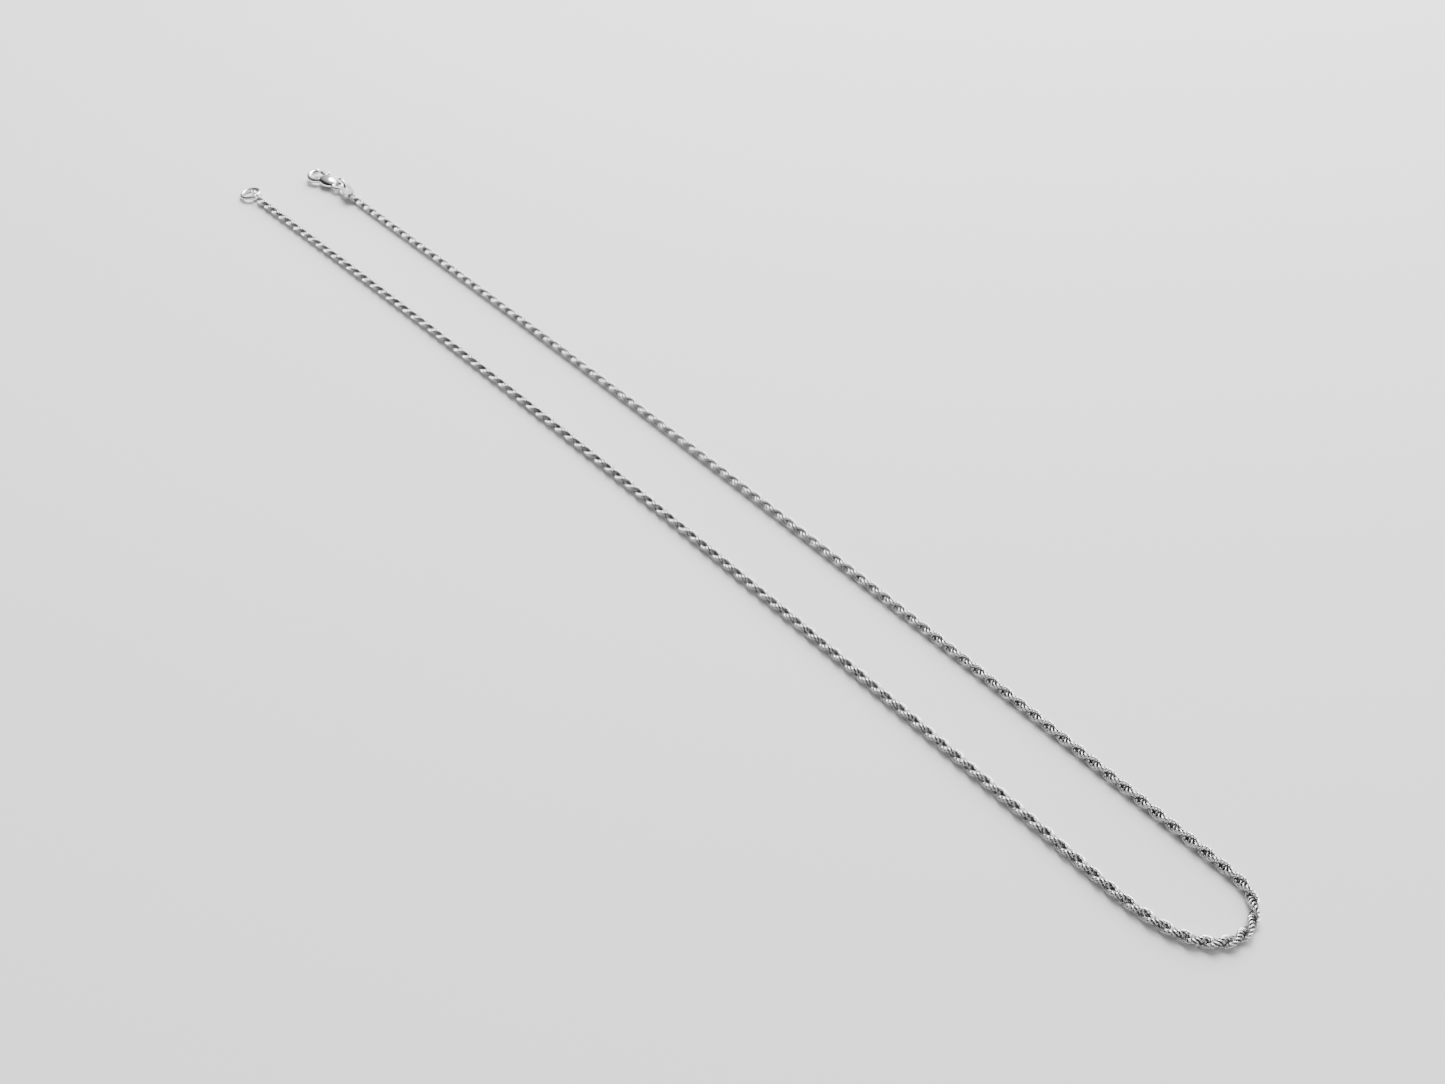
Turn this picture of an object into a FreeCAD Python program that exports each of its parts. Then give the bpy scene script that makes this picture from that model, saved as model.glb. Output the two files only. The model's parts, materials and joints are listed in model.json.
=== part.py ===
import FreeCAD, Part
import math
import os
import re

# Rope chain necklace lying folded in a U, with a lobster clasp, a quality tag and an end ring.
#
# Millimetres, +Z up. The origin is on the surface that the necklace lies on, under the middle of
# its bounding box. +X points to the bend. The run on the -Y side ends in the plain ring, and the
# run on the +Y side ends in the clasp.
#
# A rope chain is some two thousand interlinked wire rings that stack up into two strands, twisted
# around each other. Each bump along its edge is half a turn of the twist. The chain is built here
# as short segments of twisted strand, each a whole number of bumps long, so that every segment
# starts with the strands one above the other.

DRIVING_SIZES = {
    # rope chain
    "bump_length": 2.9,
    "strand_radius": 0.46,
    "twist_radius": 0.475,
    "run_bumps": 5,
    "run_segments": 16,
    "run_gap": 0.6,
    "bend_segments": 11,
    "bend_gap": 0.9,
    # route: headings in degrees, counted from +X
    "ring_run_first_heading": 2.6,
    "ring_run_last_heading": -1.9,
    "clasp_run_first_heading": 178.3,
    "clasp_run_last_heading": 181.7,
    "bend_full_turn": 180,
    "bend_turn_steps": 11.2,
    "bend_tightening": 2.4,
    # soldered links at both ends of the chain
    "link_radius": 1.15,
    "link_wire_radius": 0.22,
    "solder_gap": 0.03,
    # plain ring that the clasp hooks into
    "end_ring_radius": 2.1,
    "end_ring_wire_radius": 0.42,
    # jump ring that carries the clasp and the tag
    "clasp_ring_radius": 1.6,
    "clasp_ring_wire_radius": 0.3,
    "clasp_ring_lean": 20,
    "link_to_ring_centre": 0.2,
    # lobster clasp, lying flat, measured from the middle of its eye
    "clasp_mid_height": 1.2,
    "clasp_turn": 8,
    "eye_radius": 1.05,
    "eye_wire_radius": 0.4,
    "shank_middle": 3.2,
    "shank_half_length": 2.5,
    "shank_half_width": 1.8,
    "shank_half_height": 1.2,
    "claw_middle": 6.9,
    "claw_radius": 1.85,
    "claw_wire_radius": 0.62,
    "claw_tip_angle": -45,
    "claw_sweep": 215,
    "pivot_along": 4.3,
    "pivot_across": -1.0,
    "pin_radius": 0.25,
    "pin_half_length": 0.85,
    "pin_clearance": 0.04,
    "slot_half_height": 0.52,
    # sprung lever that closes the claw
    "lever_radius": 0.45,
    "lever_reach": 2.8,
    "lever_heading": -12,
    "lever_hub_radius": 0.72,
    "lever_hub_top": 0.05,
    "thumb_radius": 0.48,
    "thumb_along": 1.25,
    "thumb_across": -0.95,
    "spring_coil_radius": 0.5,
    "spring_wire_radius": 0.1,
    "spring_sweep": 320,
    # blank quality tag
    "tag_length": 4.2,
    "tag_width": 2.4,
    "tag_thickness": 0.3,
    "tag_corner": 0.5,
    "tag_hole_radius": 0.55,
    "tag_hole_from_end": 0.95,
    "tag_ring_angle": 168,
    "tag_tilt": 2,
    "tag_turn": -12,
}

X_AXIS = FreeCAD.Vector(1, 0, 0)
Y_AXIS = FreeCAD.Vector(0, 1, 0)
Z_AXIS = FreeCAD.Vector(0, 0, 1)

doc = FreeCAD.newDocument("rope_chain_necklace")
sheet = doc.addObject("Spreadsheet::Sheet", "Sizes")
for row, (alias, number) in enumerate(DRIVING_SIZES.items(), start=1):
    sheet.set(f"A{row}", alias)
    sheet.set(f"B{row}", str(number))
    sheet.setAlias(f"B{row}", alias)
doc.recompute()


def size(alias):
    """The number that the sheet holds under an alias."""
    return float(sheet.get(alias))


def cell(formula):
    """An expression in which every driving size is read from the sheet."""
    return re.sub(r"[a-z]\w+", lambda found: f"Sizes.{found[0]}", formula)


def add(kind, name, bound=None, **fixed):
    """A document object whose named sizes follow the sheet."""
    made = doc.addObject(kind, name)
    for prop, value in fixed.items():
        setattr(made, prop, value)
    for prop, formula in (bound or {}).items():
        made.setExpression(prop, cell(formula))
    return made


def place(point=(0, 0, 0), axis=Z_AXIS, angle=0):
    """A placement at a point, turned about one axis by an angle in degrees."""
    return FreeCAD.Placement(FreeCAD.Vector(*point), FreeCAD.Rotation(axis, angle))


def turned(axis, angle):
    """A placement that only turns."""
    return place(axis=axis, angle=angle)


sub_parts = []


def sub_part(made, label, placement=None):
    """Keeps an object as a sub-part, under the name of its file."""
    made.Label = label
    if placement is not None:
        made.Placement = placement
    sub_parts.append(made)
    return made


# ---- rope chain -----------------------------------------------------------------------------

ROPE_RADIUS = size("twist_radius") + size("strand_radius")
TWIST_SLOPE = math.degrees(math.atan2(math.pi * size("twist_radius"), size("bump_length")))


def strand(name, length, gap, phase):
    """One left-handed strand along +Z, cut square and half a gap short at both ends."""
    helix = add("Part::Helix", f"{name}_helix", LocalCoord="Left-handed", bound={
        "Pitch": "2 * bump_length",
        "Height": length,
        "Radius": "twist_radius",
    })
    wire = add("Part::Circle", f"{name}_wire", bound={"Radius": "strand_radius"})
    wire.Placement = place((size("twist_radius"), 0, 0), X_AXIS, TWIST_SLOPE)
    sweep = add("Part::Sweep", f"{name}_sweep", Sections=[wire], Spine=(helix, []), Solid=True, Frenet=True)
    sweep.Placement = turned(Z_AXIS, phase)
    keep = add("Part::Cylinder", f"{name}_keep", bound={
        "Radius": "2 * ( twist_radius + strand_radius )",
        "Height": f"{length} - {gap}",
        "Placement.Base.z": f"{gap} / 2",
    })
    return add("Part::Common", name, Base=sweep, Tool=keep)


def strand_pair(name, length, gap):
    """The two strands of a segment, opposite each other."""
    return [strand(f"{name}_strand_{side}", length, gap, 180 * side) for side in range(2)]


def headings():
    """Each segment's length and heading, from the plain end of the chain to the clasp end."""
    run_length = size("run_bumps") * size("bump_length")
    run_count = int(size("run_segments"))
    bend_count = int(size("bend_segments"))

    def run(first, last):
        step = (last - first) / (run_count - 1)
        return [(run_length, first + step * index) for index in range(run_count)]

    def bend_heading(index):
        progress = index / size("bend_turn_steps")
        return size("bend_full_turn") * progress ** size("bend_tightening")

    ring_run = run(size("ring_run_first_heading"), size("ring_run_last_heading"))
    bend = [(size("bump_length"), bend_heading(index)) for index in range(1, bend_count + 1)]
    clasp_run = run(size("clasp_run_first_heading"), size("clasp_run_last_heading"))
    return ring_run, bend, clasp_run


def start_points(steps):
    """The point where each segment starts, and the last one's end, from the chain's plain end."""
    point = FreeCAD.Vector(0, 0, ROPE_RADIUS)
    points = [point]
    for length, heading in steps:
        point = point + turned(Z_AXIS, heading).multVec(FreeCAD.Vector(length, 0, 0))
        points.append(point)
    return points


def build_chain(ring_run, bend, clasp_run, points):
    """Every segment as a node of two strands, laid along the route."""
    templates = {
        "run": strand_pair("run", "( run_bumps * bump_length )", "run_gap"),
        "bend": strand_pair("bend", "bump_length", "bend_gap"),
    }
    names = [("run", f"chain_plain_run_{index:02d}") for index in range(1, len(ring_run) + 1)]
    names += [("bend", f"chain_bend_{index:02d}") for index in range(1, len(bend) + 1)]
    names += [("run", f"chain_clasp_run_{index:02d}") for index in range(1, len(clasp_run) + 1)]
    steps = ring_run + bend + clasp_run
    for (template, name), (length, heading), start in zip(names, steps, points):
        laid = place(start, Z_AXIS, heading).multiply(turned(Y_AXIS, 90))
        sub_part(add("Part::Compound", name, Links=templates[template]), name, laid)


# ---- rings and links ------------------------------------------------------------------------

def wire_ring(name, radius, wire_radius, placement):
    """A closed ring of round wire, its axis along its placement's Z."""
    ring = add("Part::Torus", name, bound={"Radius1": radius, "Radius2": wire_radius})
    return sub_part(ring, name, placement)


LINK_REACH = size("link_radius") + size("link_wire_radius")
LINK_MIDDLE = LINK_REACH + size("solder_gap") - size("run_gap") / 2


def build_plain_end(end):
    """A standing link soldered to the chain, and the plain ring that lies through it."""
    link_height = LINK_REACH + size("solder_gap")
    link_at = FreeCAD.Vector(LINK_MIDDLE, 0, link_height)
    standing = FreeCAD.Placement(link_at, FreeCAD.Rotation(X_AXIS, 90))
    wire_ring("plain_end_link", "link_radius", "link_wire_radius", end.multiply(standing))

    wire = size("end_ring_wire_radius")
    radius = size("end_ring_radius")
    play = size("link_radius") - size("link_wire_radius") - wire - size("solder_gap")
    seat = link_at + FreeCAD.Vector(play, 0, -play) * math.sqrt(0.5)
    droop = math.asin((seat.z - wire) / (2 * radius))
    middle = seat + FreeCAD.Vector(math.cos(droop), 0, -math.sin(droop)) * radius
    tilted = FreeCAD.Placement(middle, FreeCAD.Rotation(Y_AXIS, math.degrees(droop)))
    wire_ring("end_ring", "end_ring_radius", "end_ring_wire_radius", end.multiply(tilted))


def clasp_ring_frame():
    """The jump ring's placement from the chain's end: standing along the chain and leaning over."""
    lean = math.radians(size("clasp_ring_lean"))
    height = size("clasp_ring_radius") * math.cos(lean) + size("clasp_ring_wire_radius")
    along = LINK_MIDDLE + size("link_radius") + size("link_to_ring_centre")
    return place((along, 0, height), X_AXIS, 90 + size("clasp_ring_lean"))


def on_clasp_ring(frame, angle):
    """The point of the jump ring's wire at an angle from the direction away from the chain."""
    across = math.radians(angle)
    radius = size("clasp_ring_radius")
    return frame.multVec(FreeCAD.Vector(radius * math.cos(across), radius * math.sin(across), 0))


# ---- lobster clasp --------------------------------------------------------------------------

def upright(name, radius, half_height, along, across):
    """A cylinder along Z through the clasp's middle plane."""
    return add("Part::Cylinder", name, bound={
        "Radius": radius,
        "Height": f"2 * {half_height}",
        "Placement.Base.x": along,
        "Placement.Base.y": across,
        "Placement.Base.z": f"-1 * {half_height}",
    })


def fuse(name, shapes):
    return add("Part::MultiFuse", name, Shapes=shapes, Refine=True)


def cut(name, base, tool):
    return add("Part::Cut", name, Base=base, Tool=tool, Refine=True)


def build_clasp_body(placement):
    """Eye, egg-shaped shank and claw in one casting, slotted and drilled for the lever."""
    eye = add("Part::Torus", "clasp_eye", bound={"Radius1": "eye_radius", "Radius2": "eye_wire_radius"})
    shank = add("Part::Ellipsoid", "clasp_shank", bound={
        "Radius1": "shank_half_height",
        "Radius2": "shank_half_length",
        "Radius3": "shank_half_width",
        "Placement.Base.x": "shank_middle",
    })
    claw = add("Part::Torus", "clasp_claw", bound={
        "Radius1": "claw_radius",
        "Radius2": "claw_wire_radius",
        "Angle3": "claw_sweep",
        "Placement.Base.x": "claw_middle",
    })
    claw.Placement.Rotation = FreeCAD.Rotation(Z_AXIS, size("claw_tip_angle"))
    tip = add("Part::Sphere", "clasp_claw_tip", bound={"Radius": "claw_wire_radius"})
    tip.Placement = place((size("claw_middle"), 0, 0), Z_AXIS, size("claw_tip_angle"))
    tip.Placement = tip.Placement.multiply(place((size("claw_radius"), 0, 0)))
    slot = add("Part::Box", "clasp_slot", bound={
        "Length": "claw_middle - pivot_along + lever_hub_radius",
        "Width": "2 * shank_half_width",
        "Height": "2 * slot_half_height",
        "Placement.Base.x": "pivot_along - lever_hub_radius - 0.1",
        "Placement.Base.y": "-2 * shank_half_width",
        "Placement.Base.z": "-1 * slot_half_height",
    })
    mouth = upright("clasp_mouth", "claw_radius - claw_wire_radius", "shank_half_height", "claw_middle", "0")
    pin_hole = upright("clasp_pin_hole", "pin_radius", "pin_half_length", "pivot_along", "pivot_across")
    opened = cut("clasp_shank_opened", shank, mouth)
    casting = fuse("clasp_casting", [eye, opened, claw, tip])
    slotted = cut("clasp_slotted", casting, slot)
    sub_part(cut("clasp_body", slotted, pin_hole), "clasp_body", placement)


def build_clasp_lever(placement):
    """Hub on the pin, round arm to the claw's tip and a thumb knob on the outside."""
    pivot = place((size("pivot_along"), size("pivot_across"), 0), Z_AXIS, size("lever_heading"))
    hub = add("Part::Cylinder", "lever_hub", bound={
        "Radius": "lever_hub_radius",
        "Height": "lever_hub_top + lever_radius",
        "Placement.Base.z": "-1 * lever_radius",
    })
    arm = add("Part::Cylinder", "lever_arm", bound={"Radius": "lever_radius", "Height": "lever_reach"})
    arm.Placement = turned(Y_AXIS, 90)
    tip = add("Part::Sphere", "lever_tip", bound={
        "Radius": "lever_radius",
        "Placement.Base.x": "lever_reach",
    })
    thumb = add("Part::Sphere", "lever_thumb", bound={
        "Radius": "thumb_radius",
        "Placement.Base.x": "thumb_along",
        "Placement.Base.y": "thumb_across",
    })
    neck = add("Part::Cylinder", "lever_neck", bound={
        "Radius": "thumb_radius * 0.75",
        "Height": "-1 * thumb_across",
        "Placement.Base.x": "thumb_along",
    })
    neck.Placement.Rotation = FreeCAD.Rotation(X_AXIS, 90)
    spring_room = add("Part::Cylinder", "lever_spring_room", bound={
        "Radius": "spring_coil_radius + 1.5 * spring_wire_radius",
        "Height": "lever_radius",
        "Placement.Base.z": "lever_hub_top",
    })
    bore = add("Part::Cylinder", "lever_bore", bound={
        "Radius": "pin_radius + pin_clearance",
        "Height": "4 * lever_radius",
        "Placement.Base.z": "-2 * lever_radius",
    })
    solid = fuse("lever_solid", [hub, arm, tip, thumb, neck])
    cleared = cut("lever_cleared", solid, spring_room)
    sub_part(cut("clasp_lever", cleared, bore), "clasp_lever", placement.multiply(pivot))


def build_clasp_pin(placement):
    pin = add("Part::Cylinder", "clasp_pivot_pin", bound={
        "Radius": "pin_radius",
        "Height": "2 * pin_half_length",
    })
    foot = (size("pivot_along"), size("pivot_across"), -size("pin_half_length"))
    sub_part(pin, "clasp_pivot_pin", placement.multiply(place(foot)))


def build_clasp_spring(placement):
    """An open coil of round wire around the pin, above the lever's hub."""
    coil = add("Part::Torus", "clasp_spring", bound={
        "Radius1": "spring_coil_radius",
        "Radius2": "spring_wire_radius",
        "Angle3": "spring_sweep",
    })
    lift = size("lever_hub_top") + 2 * size("spring_wire_radius")
    at = place((size("pivot_along"), size("pivot_across"), lift))
    sub_part(coil, "clasp_spring", placement.multiply(at))


# ---- quality tag ----------------------------------------------------------------------------

def build_tag(placement):
    """A thin blank plate with round corners, its hole at the origin and its length along -X."""
    plate = add("Part::Box", "tag_plate", bound={
        "Length": "tag_length",
        "Width": "tag_width",
        "Height": "tag_thickness",
        "Placement.Base.x": "tag_hole_from_end - tag_length",
        "Placement.Base.y": "tag_width / -2",
        "Placement.Base.z": "tag_thickness / -2",
    })
    doc.recompute()
    upright_edges = [
        index for index, edge in enumerate(plate.Shape.Edges, start=1)
        if abs(edge.tangentAt(edge.FirstParameter).z) > 0.5
    ]
    rounded = add("Part::Fillet", "tag_rounded", Base=plate)
    corner = size("tag_corner")
    rounded.Edges = [(index, corner, corner) for index in upright_edges]
    hole = add("Part::Cylinder", "tag_hole", bound={
        "Radius": "tag_hole_radius",
        "Height": "4 * tag_thickness",
        "Placement.Base.z": "-2 * tag_thickness",
    })
    sub_part(cut("quality_tag", rounded, hole), "quality_tag", placement)


def build_clasp_end(end):
    """A flat link soldered to the chain, the jump ring through it, and the clasp and tag on that."""
    flat = place((LINK_MIDDLE, 0, ROPE_RADIUS))
    wire_ring("clasp_end_link", "link_radius", "link_wire_radius", end.multiply(flat))
    ring_frame = clasp_ring_frame()
    wire_ring("clasp_ring", "clasp_ring_radius", "clasp_ring_wire_radius", end.multiply(ring_frame))

    rise = ring_frame.Base.z - size("clasp_mid_height")
    slide = rise / (size("clasp_ring_radius") * math.cos(math.radians(size("clasp_ring_lean"))))
    eye_at = on_clasp_ring(ring_frame, -math.degrees(math.asin(slide)))
    clasp = end.multiply(place(eye_at, Z_AXIS, size("clasp_turn")))
    build_clasp_body(clasp)
    build_clasp_lever(clasp)
    build_clasp_pin(clasp)
    build_clasp_spring(clasp)

    hole_at = on_clasp_ring(ring_frame, size("tag_ring_angle"))
    tag_frame = place(hole_at, Z_AXIS, size("tag_turn")).multiply(turned(Y_AXIS, size("tag_tilt")))
    build_tag(end.multiply(tag_frame))


# ---- whole necklace -------------------------------------------------------------------------

def lowest_and_highest():
    box = FreeCAD.BoundBox()
    for made in sub_parts:
        box.add(made.Shape.optimalBoundingBox())
    return box


def check_document():
    """Stops the script if any object failed or any sub-part has no valid shape."""
    for made in doc.Objects:
        if {"Invalid", "Error"} & set(made.State):
            raise RuntimeError(f"{made.Name} failed: {made.State}")
    for made in sub_parts:
        if made.Shape.isNull() or not made.Shape.isValid():
            raise RuntimeError(f"{made.Label} has no valid shape")


ring_run, bend, clasp_run = headings()
points = start_points(ring_run + bend + clasp_run)
build_chain(ring_run, bend, clasp_run, points)
build_plain_end(place((points[0].x, points[0].y, 0), Z_AXIS, ring_run[0][1] + 180))
build_clasp_end(place((points[-1].x, points[-1].y, 0), Z_AXIS, clasp_run[-1][1]))
doc.recompute()

extent = lowest_and_highest()
to_origin = FreeCAD.Vector(-extent.Center.x, -extent.Center.y, -extent.ZMin)
for made in sub_parts:
    made.Placement = FreeCAD.Placement(to_origin, FreeCAD.Rotation()).multiply(made.Placement)
doc.recompute()
check_document()

os.makedirs("parts", exist_ok=True)
for made in sub_parts:
    made.Shape.exportStep(f"parts/{made.Label}.step")
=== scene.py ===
import json
import math
import bpy
import numpy as np
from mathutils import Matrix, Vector

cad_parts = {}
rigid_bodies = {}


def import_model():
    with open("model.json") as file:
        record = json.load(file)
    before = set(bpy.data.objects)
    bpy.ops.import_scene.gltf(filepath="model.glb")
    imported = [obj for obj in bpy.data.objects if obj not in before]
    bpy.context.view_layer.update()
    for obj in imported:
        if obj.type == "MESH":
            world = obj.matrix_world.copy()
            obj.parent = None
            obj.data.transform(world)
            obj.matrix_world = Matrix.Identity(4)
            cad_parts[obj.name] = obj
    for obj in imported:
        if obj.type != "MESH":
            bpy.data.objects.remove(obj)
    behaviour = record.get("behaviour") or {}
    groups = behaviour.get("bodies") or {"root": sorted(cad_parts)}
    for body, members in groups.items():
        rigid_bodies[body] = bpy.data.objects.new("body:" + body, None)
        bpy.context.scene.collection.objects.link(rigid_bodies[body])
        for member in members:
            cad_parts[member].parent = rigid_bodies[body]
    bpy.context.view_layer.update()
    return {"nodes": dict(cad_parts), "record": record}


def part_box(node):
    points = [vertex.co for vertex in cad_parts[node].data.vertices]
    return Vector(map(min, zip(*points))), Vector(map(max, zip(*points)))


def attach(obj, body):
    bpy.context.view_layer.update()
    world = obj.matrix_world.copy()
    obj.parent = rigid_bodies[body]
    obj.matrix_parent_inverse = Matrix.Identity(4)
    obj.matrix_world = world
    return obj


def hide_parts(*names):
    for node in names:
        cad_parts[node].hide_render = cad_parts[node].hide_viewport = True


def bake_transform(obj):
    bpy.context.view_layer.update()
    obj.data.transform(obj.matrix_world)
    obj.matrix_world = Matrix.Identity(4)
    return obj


# Rope chain necklace lying folded in a U on a pale table. Metres, same frame as the CAD.
# The chain's two strands are built link by link: closed wire rings, each through its neighbours.

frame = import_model()

UP = Vector((0, 0, 1))

# The chain. A bump is half a turn of the two strands; every other link belongs to the same strand.
BUMPS_PER_RUN = 5
BUMPS_PER_BEND_PART = 1
CENTRE_HEIGHT = 0.000935
STRANDS = 2
LINKS_PER_BUMP = 14
LINK_RADIUS = 0.000617
LINK_WIRE_RADIUS = 0.000110
LINK_OFFSET = 0.000250
LINK_TILT = math.radians(-17)
LINK_YAW = math.radians(40)
ROPE_RADIUS = LINK_OFFSET + LINK_RADIUS + LINK_WIRE_RADIUS
RING_STEPS = 26
WIRE_STEPS = 8

# The metals. Scales are in waves per metre.
CHAIN_TONE = (0.97, 0.97, 0.97)
# Painted shade: the links darken to this tone towards the rope's centre line, where the rings shade
# each other.
CHAIN_PAINTED_SHADE_TONE = (0.14, 0.14, 0.14)
CHAIN_ROUGHNESS, CHAIN_SCRATCH_SCALE = 0.1, 12000
FITTING_TONE = (0.9, 0.9, 0.9)
FITTING_ROUGHNESS, FITTING_SCRATCH_SCALE = 0.14, 9000
TAG_TONE = (0.78, 0.78, 0.78)
TAG_ROUGHNESS, TAG_SCRATCH_SCALE = 0.3, 7000
SPRING_TONE = (0.55, 0.56, 0.58)
SPRING_ROUGHNESS, SPRING_SCRATCH_SCALE = 0.25, 9000
CLOUD_SHARE = 0.35
CLOUD_DETAIL, SCRATCH_DETAIL = 5, 3
POLISH_RANGE = (0.6, 1.5)
WORN_SHARE = 0.86
# Painted shade between links: full below the first outwardness, gone above the second.
INNER_END, OUTER_START = 0.45, 0.9
SCRATCH_STRETCH = (0.15, 1, 1)
SCRATCH_TURN = (0.3, 0.5, 0.8)
SCRATCH_STRENGTH = 0.25
SCRATCH_DEPTH = 0.00001

# The table
TABLE_HALF_SIZE = 3.0
TABLE_ROUGHNESS = 0.75
TABLE_GRAIN_SCALE = 12
TABLE_DARK, TABLE_LIGHT = (0.66, 0.66, 0.66), (0.69, 0.69, 0.69)

# The light: where each soft box is, what it points at, its width and height, and its watts.
WINDOW_BOX = ((-0.3, 0.75, 0.55), (-0.05, 0, 0), (1.1, 0.7), 20)
OVERHEAD_BOX = ((-0.35, 0.4, 0.75), (0, 0, 0), (0.45, 0.45), 16)
WINDOW_DIRECTION = (-0.1, 0.75, 0.65)
WALL_DARK, WALL_LIGHT = (0.04, 0.04, 0.04), (1, 1, 1)
WALL_DARK_END, WALL_LIGHT_START = 0.05, 0.75
WALL_STRENGTH = 0.9

# The camera. Its lens and sensor are in millimetres, its angles in degrees.
SENSOR_WIDTH = 36
FOCAL_LENGTH = 26.15917
NEAREST_SEEN = 0.005
CAMERA_PLACE = (0.10203, -0.08685, 0.15479)
CAMERA_HEADING, CAMERA_DIP, CAMERA_ROLL = 132.29, 53.35, 2.59


# ---- route of the chain ---------------------------------------------------------------------

def chain_bodies():
    """The chain's bodies in order, from the plain end to the clasp end."""
    order = {"plain": 0, "bend": 1, "clasp": 2}
    names = [name for name in frame["record"]["behaviour"]["bodies"] if name[-2:].isdigit()]
    return sorted(names, key=lambda name: (order[name.split("_")[0]], int(name[-2:])))


def joint_points(bodies):
    """Where each chain body meets the next, from the record's joints."""
    places = {
        frozenset((joint["parent"], joint["child"])): Vector(joint["pos_m"])
        for joint in frame["record"]["behaviour"]["joints"]
    }
    return [places[frozenset(pair)] for pair in zip(bodies, bodies[1:])]


def middle(body):
    """The middle of a chain body's own node, on the chain's centre line."""
    low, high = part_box(f"chain_{body}")
    centre = (Vector(low) + Vector(high)) / 2
    return Vector((centre.x, centre.y, CENTRE_HEIGHT))


class Stretch:
    """Part of the route: straight into a corner, smoothly round it, and straight on."""

    def __init__(self, start, corner, end, first_bump, last_bump):
        self.corner, self.first_bump, self.last_bump = corner, first_bump, last_bump
        self.arriving = (corner - start).normalized()
        self.leaving = (end - corner).normalized()
        self.before = (corner - start).length
        self.length = self.before + (end - corner).length
        self.arm = min(self.before, self.length - self.before)
        self.curve_start = corner - self.arm * self.arriving
        self.curve_end = corner + self.arm * self.leaving

    def frame_at(self, bump):
        """The point, tangent and left-hand side of the route at a bump number."""
        share = (bump - self.first_bump) / (self.last_bump - self.first_bump)
        past = share * self.length - self.before
        if abs(past) >= self.arm:
            tangent = self.leaving if past > 0 else self.arriving
            point = self.corner + past * tangent
        else:
            on = (past + self.arm) / (2 * self.arm)
            back = 1 - on
            point = back * back * self.curve_start + 2 * back * on * self.corner
            point += on * on * self.curve_end
            tangent = (back * self.arriving + on * self.leaving).normalized()
        return point, tangent, UP.cross(tangent)


def stretches(bodies):
    """The route cut at the middle of every segment, with half a segment at both ends."""
    corners = joint_points(bodies)
    middles = [middle(body) for body in bodies]
    first_end = 2 * middles[0] - corners[0]
    last_end = 2 * middles[-1] - corners[-1]
    counts = [
        BUMPS_PER_BEND_PART if body.startswith("bend") else BUMPS_PER_RUN for body in bodies
    ]
    starts = [sum(counts[:index]) for index in range(len(counts) + 1)]
    halves = [start + count / 2 for start, count in zip(starts, counts)]
    route = [Stretch(first_end, (first_end + middles[0]) / 2, middles[0], 0, halves[0])]
    for index, corner in enumerate(corners):
        ends = middles[index], corner, middles[index + 1]
        route.append(Stretch(*ends, halves[index], halves[index + 1]))
    last_corner = (middles[-1] + last_end) / 2
    route.append(Stretch(middles[-1], last_corner, last_end, halves[-1], starts[-1]))
    return route


# ---- links ----------------------------------------------------------------------------------

def link_vertices(stretch, number):
    """One wire ring: the points of a torus, and how far each is from the rope's centre line."""
    bump = number / LINKS_PER_BUMP
    point, tangent, side = stretch.frame_at(bump)
    twist = -math.pi * bump + math.pi * (number % STRANDS)
    across = -side
    outward = math.cos(twist) * UP + math.sin(twist) * across
    around = -math.sin(twist) * UP + math.cos(twist) * across
    centre = point + LINK_OFFSET * outward
    normal = math.cos(LINK_TILT) * (math.cos(LINK_YAW) * around + math.sin(LINK_YAW) * outward)
    normal = (normal + math.sin(LINK_TILT) * tangent).normalized()
    first = (outward - normal * outward.dot(normal)).normalized()
    second = normal.cross(first)
    ring = np.linspace(0, 2 * math.pi, RING_STEPS, endpoint=False)[:, None, None]
    wire = np.linspace(0, 2 * math.pi, WIRE_STEPS, endpoint=False)[None, :, None]
    spoke = np.cos(ring) * np.array(first) + np.sin(ring) * np.array(second)
    reach = LINK_RADIUS + LINK_WIRE_RADIUS * np.cos(wire)
    points = np.array(centre) + reach * spoke + LINK_WIRE_RADIUS * np.sin(wire) * np.array(normal)
    distance = np.linalg.norm(np.cross(points - np.array(point), np.array(tangent)), axis=2)
    return points.reshape(-1, 3), distance.reshape(-1)


def link_faces():
    """The four corners of every face of one ring."""
    ring = np.arange(RING_STEPS)[:, None]
    wire = np.arange(WIRE_STEPS)[None, :]
    next_ring = (ring + 1) % RING_STEPS
    next_wire = (wire + 1) % WIRE_STEPS
    corners = [
        ring * WIRE_STEPS + wire,
        next_ring * WIRE_STEPS + wire,
        next_ring * WIRE_STEPS + next_wire,
        ring * WIRE_STEPS + next_wire,
    ]
    return np.stack(corners, axis=2).reshape(-1, 4)


def build_links(name, stretch, material):
    """Every ring of a stretch of chain as one mesh.

    Its attribute outwardness is 0 on the rope's centre line and 1 at the rope's outside; it places
    the painted shade between links.
    """
    first = math.ceil(stretch.first_bump * LINKS_PER_BUMP)
    last = math.ceil(stretch.last_bump * LINKS_PER_BUMP)
    rings = [link_vertices(stretch, number) for number in range(first, last)]
    one = link_faces()
    points_per_ring = RING_STEPS * WIRE_STEPS
    faces = np.concatenate([one + index * points_per_ring for index in range(len(rings))])
    mesh = bpy.data.meshes.new(name)
    mesh.from_pydata(np.concatenate([ring[0] for ring in rings]).tolist(), [], faces.tolist())
    outwardness = np.concatenate([ring[1] for ring in rings]) / ROPE_RADIUS
    attribute = mesh.attributes.new("outwardness", "FLOAT", "POINT")
    attribute.data.foreach_set("value", outwardness.astype(np.float32))
    mesh.shade_smooth()
    mesh.materials.append(material)
    piece = bpy.data.objects.new(name, mesh)
    bpy.context.scene.collection.objects.link(piece)
    return piece


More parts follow.
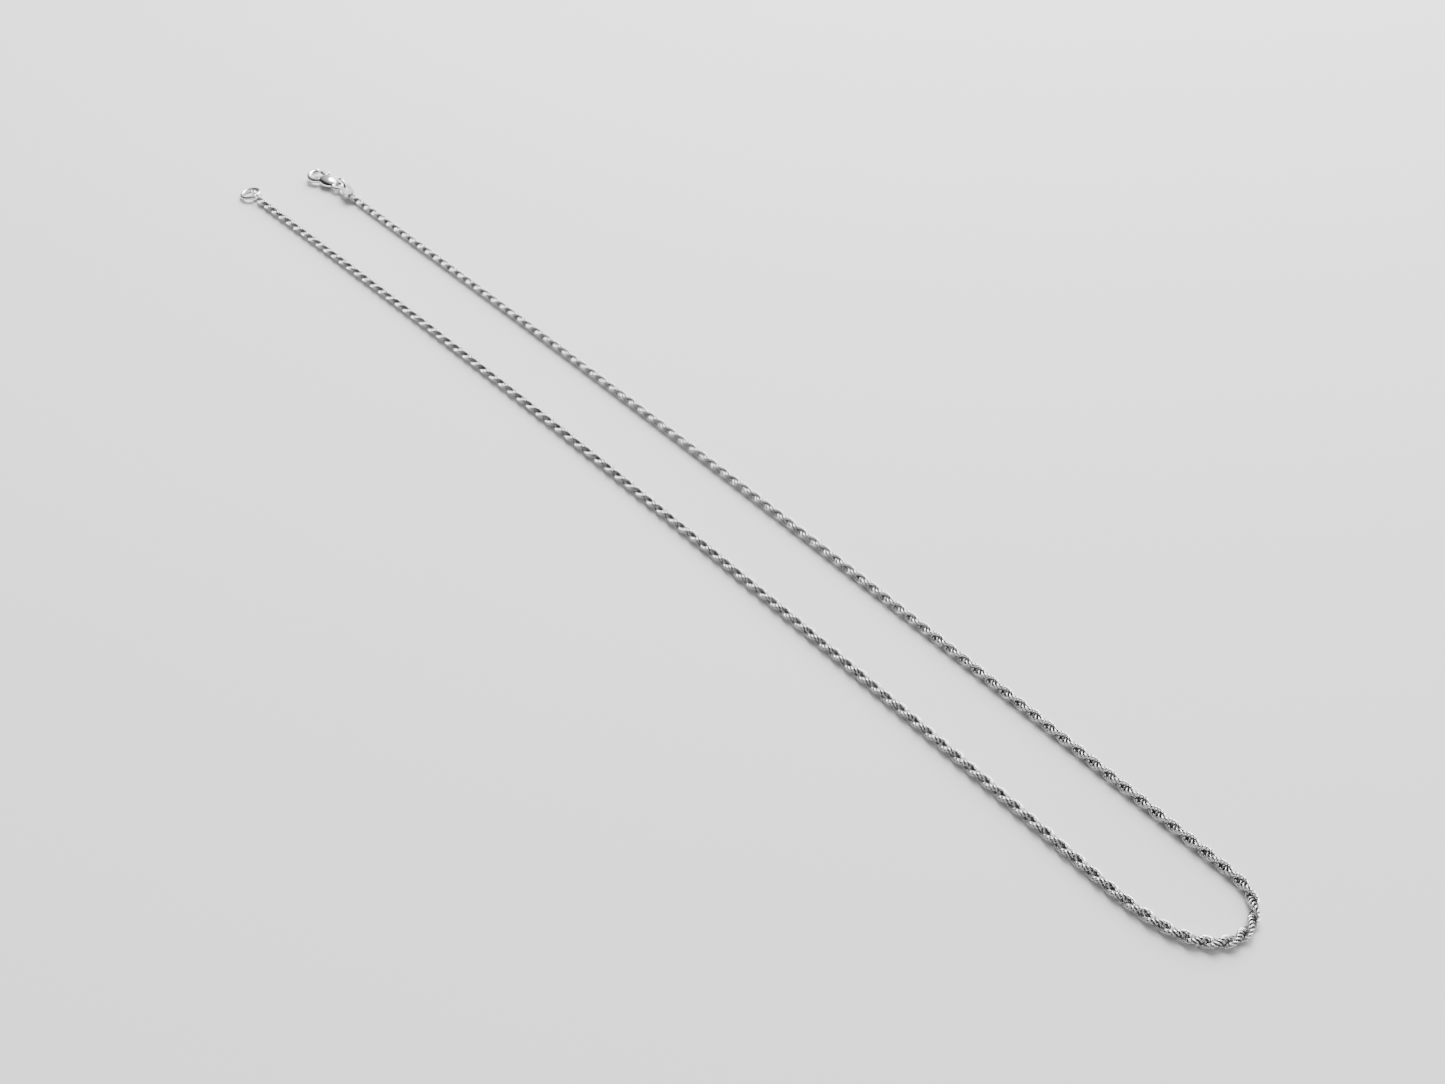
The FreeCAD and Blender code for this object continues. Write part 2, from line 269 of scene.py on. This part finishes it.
def build_chain(material):
    """Rings along the whole route, each stretch bending over one joint."""
    bodies = chain_bodies()
    route = stretches(bodies)
    for index, stretch in enumerate(route):
        piece = build_links(f"rope_links_{index + 1:02d}", stretch, material)
        if index == 0:
            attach(piece, bodies[0])
        elif index == len(bodies):
            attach(piece, bodies[-1])
        else:
            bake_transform(piece)
        if index < len(bodies):
            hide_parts(f"chain_{bodies[index]}")


# ---- materials ------------------------------------------------------------------------------

def mix_colour(nodes, links, factor, dark, light):
    """A colour ramp from dark to light, driven by a factor."""
    ramp = nodes.new("ShaderNodeValToRGB")
    ramp.color_ramp.elements[0].color = (*dark, 1)
    ramp.color_ramp.elements[1].color = (*light, 1)
    links.new(factor, ramp.inputs["Fac"])
    return ramp


def silver(name, tone, roughness, scratch_scale, painted_shade_tone=None):
    """Polished metal: fine scratches, uneven polish and, if asked, painted shade between links,
    where the colour darkens towards the rope's centre line.
    """
    made = bpy.data.materials.new(name)
    made.use_nodes = True
    nodes, links = made.node_tree.nodes, made.node_tree.links
    shader = nodes["Principled BSDF"]
    shader.inputs["Metallic"].default_value = 1.0
    place = nodes.new("ShaderNodeTexCoord")

    cloud = nodes.new("ShaderNodeTexNoise")
    cloud.inputs["Scale"].default_value = scratch_scale * CLOUD_SHARE
    cloud.inputs["Detail"].default_value = CLOUD_DETAIL
    links.new(place.outputs["Object"], cloud.inputs["Vector"])
    polish = nodes.new("ShaderNodeMapRange")
    polish.inputs["To Min"].default_value = roughness * POLISH_RANGE[0]
    polish.inputs["To Max"].default_value = roughness * POLISH_RANGE[1]
    links.new(cloud.outputs["Fac"], polish.inputs["Value"])
    links.new(polish.outputs["Result"], shader.inputs["Roughness"])

    dull = tuple(channel * WORN_SHARE for channel in tone)
    worn = mix_colour(nodes, links, cloud.outputs["Fac"], dull, tone)
    colour = worn.outputs["Color"]
    # Painted shade between links: the colour darkens towards the rope's centre line.
    if painted_shade_tone:
        outwardness = nodes.new("ShaderNodeAttribute")
        outwardness.attribute_name = "outwardness"
        openness = nodes.new("ShaderNodeMapRange")
        openness.inputs["From Min"].default_value = INNER_END
        openness.inputs["From Max"].default_value = OUTER_START
        links.new(outwardness.outputs["Fac"], openness.inputs["Value"])
        blend = nodes.new("ShaderNodeMix")
        blend.data_type = "RGBA"
        blend.inputs["A"].default_value = (*painted_shade_tone, 1)
        links.new(openness.outputs["Result"], blend.inputs["Factor"])
        links.new(colour, blend.inputs["B"])
        colour = blend.outputs["Result"]
    links.new(colour, shader.inputs["Base Color"])

    scratch = nodes.new("ShaderNodeTexNoise")
    scratch.inputs["Scale"].default_value = scratch_scale
    scratch.inputs["Detail"].default_value = SCRATCH_DETAIL
    stretch = nodes.new("ShaderNodeMapping")
    stretch.inputs["Scale"].default_value = SCRATCH_STRETCH
    stretch.inputs["Rotation"].default_value = SCRATCH_TURN
    links.new(place.outputs["Object"], stretch.inputs["Vector"])
    links.new(stretch.outputs["Vector"], scratch.inputs["Vector"])
    bump = nodes.new("ShaderNodeBump")
    bump.inputs["Strength"].default_value = SCRATCH_STRENGTH
    bump.inputs["Distance"].default_value = SCRATCH_DEPTH
    links.new(scratch.outputs["Fac"], bump.inputs["Height"])
    links.new(bump.outputs["Normal"], shader.inputs["Normal"])
    return made


def table_top():
    """A matt pale surface with a faint, slow change of tone."""
    made = bpy.data.materials.new("pale_table")
    made.use_nodes = True
    nodes, links = made.node_tree.nodes, made.node_tree.links
    shader = nodes["Principled BSDF"]
    shader.inputs["Roughness"].default_value = TABLE_ROUGHNESS
    grain = nodes.new("ShaderNodeTexNoise")
    grain.inputs["Scale"].default_value = TABLE_GRAIN_SCALE
    tone = mix_colour(nodes, links, grain.outputs["Fac"], TABLE_DARK, TABLE_LIGHT)
    links.new(tone.outputs["Color"], shader.inputs["Base Color"])
    return made


def dress_fittings():
    """The metal of every CAD node that stays in view."""
    bright = silver("fitting_silver", FITTING_TONE, FITTING_ROUGHNESS, FITTING_SCRATCH_SCALE)
    tag = silver("tag_silver", TAG_TONE, TAG_ROUGHNESS, TAG_SCRATCH_SCALE)
    steel = silver("spring_steel", SPRING_TONE, SPRING_ROUGHNESS, SPRING_SCRATCH_SCALE)
    special = {"quality_tag": tag, "clasp_spring": steel}
    for node, part in frame["nodes"].items():
        if not node.startswith("chain_"):
            for metal in part.material_slots:
                metal.material = special.get(node, bright)


# ---- table, light and camera ----------------------------------------------------------------

def build_floor():
    """The table top that everything lies on."""
    size = TABLE_HALF_SIZE
    mesh = bpy.data.meshes.new("table_top")
    corners = [(-size, -size, 0), (size, -size, 0), (size, size, 0), (-size, size, 0)]
    mesh.from_pydata(corners, [], [(0, 1, 2, 3)])
    mesh.materials.append(table_top())
    floor = bpy.data.objects.new("table_top", mesh)
    bpy.context.scene.collection.objects.link(floor)


def soft_box(name, place, aim, size, power):
    """A rectangular area light that points at a place."""
    lamp = bpy.data.lights.new(name, "AREA")
    lamp.shape = "RECTANGLE"
    lamp.size, lamp.size_y = size
    lamp.energy = power
    holder = bpy.data.objects.new(name, lamp)
    holder.location = place
    holder.rotation_euler = (Vector(aim) - Vector(place)).to_track_quat("-Z", "Y").to_euler()
    bpy.context.scene.collection.objects.link(holder)


def light_table():
    """A bright window side, a dark side behind the camera, and two soft boxes."""
    world = bpy.data.worlds.new("room")
    world.use_nodes = True
    nodes, links = world.node_tree.nodes, world.node_tree.links
    direction = nodes.new("ShaderNodeTexCoord")
    toward_window = nodes.new("ShaderNodeVectorMath")
    toward_window.operation = "DOT_PRODUCT"
    toward_window.inputs[1].default_value = WINDOW_DIRECTION
    links.new(direction.outputs["Generated"], toward_window.inputs[0])
    walls = mix_colour(nodes, links, toward_window.outputs["Value"], WALL_DARK, WALL_LIGHT)
    walls.color_ramp.elements[0].position = WALL_DARK_END
    walls.color_ramp.elements[1].position = WALL_LIGHT_START
    links.new(walls.outputs["Color"], nodes["Background"].inputs["Color"])
    nodes["Background"].inputs["Strength"].default_value = WALL_STRENGTH
    bpy.context.scene.world = world
    soft_box("window", *WINDOW_BOX)
    soft_box("overhead", *OVERHEAD_BOX)


def place_camera():
    """A camera above the plain leg's side of the bend, looking across the chain at its far ends."""
    lens = bpy.data.cameras.new("camera")
    lens.sensor_width = SENSOR_WIDTH
    lens.lens = FOCAL_LENGTH
    lens.clip_start = NEAREST_SEEN
    camera = bpy.data.objects.new("camera", lens)
    heading, dip = math.radians(CAMERA_HEADING), math.radians(CAMERA_DIP)
    camera.location = CAMERA_PLACE
    flat = math.cos(dip)
    ahead = Vector((flat * math.cos(heading), flat * math.sin(heading), -math.sin(dip)))
    camera.rotation_euler = ahead.to_track_quat("-Z", "Y").to_euler()
    camera.rotation_euler.rotate_axis("Z", math.radians(CAMERA_ROLL))
    bpy.context.scene.collection.objects.link(camera)
    bpy.context.scene.camera = camera


chain_silver = silver(
    "chain_silver", CHAIN_TONE, CHAIN_ROUGHNESS, CHAIN_SCRATCH_SCALE, painted_shade_tone=CHAIN_PAINTED_SHADE_TONE
)
build_chain(chain_silver)
dress_fittings()
build_floor()
light_table()
place_camera()
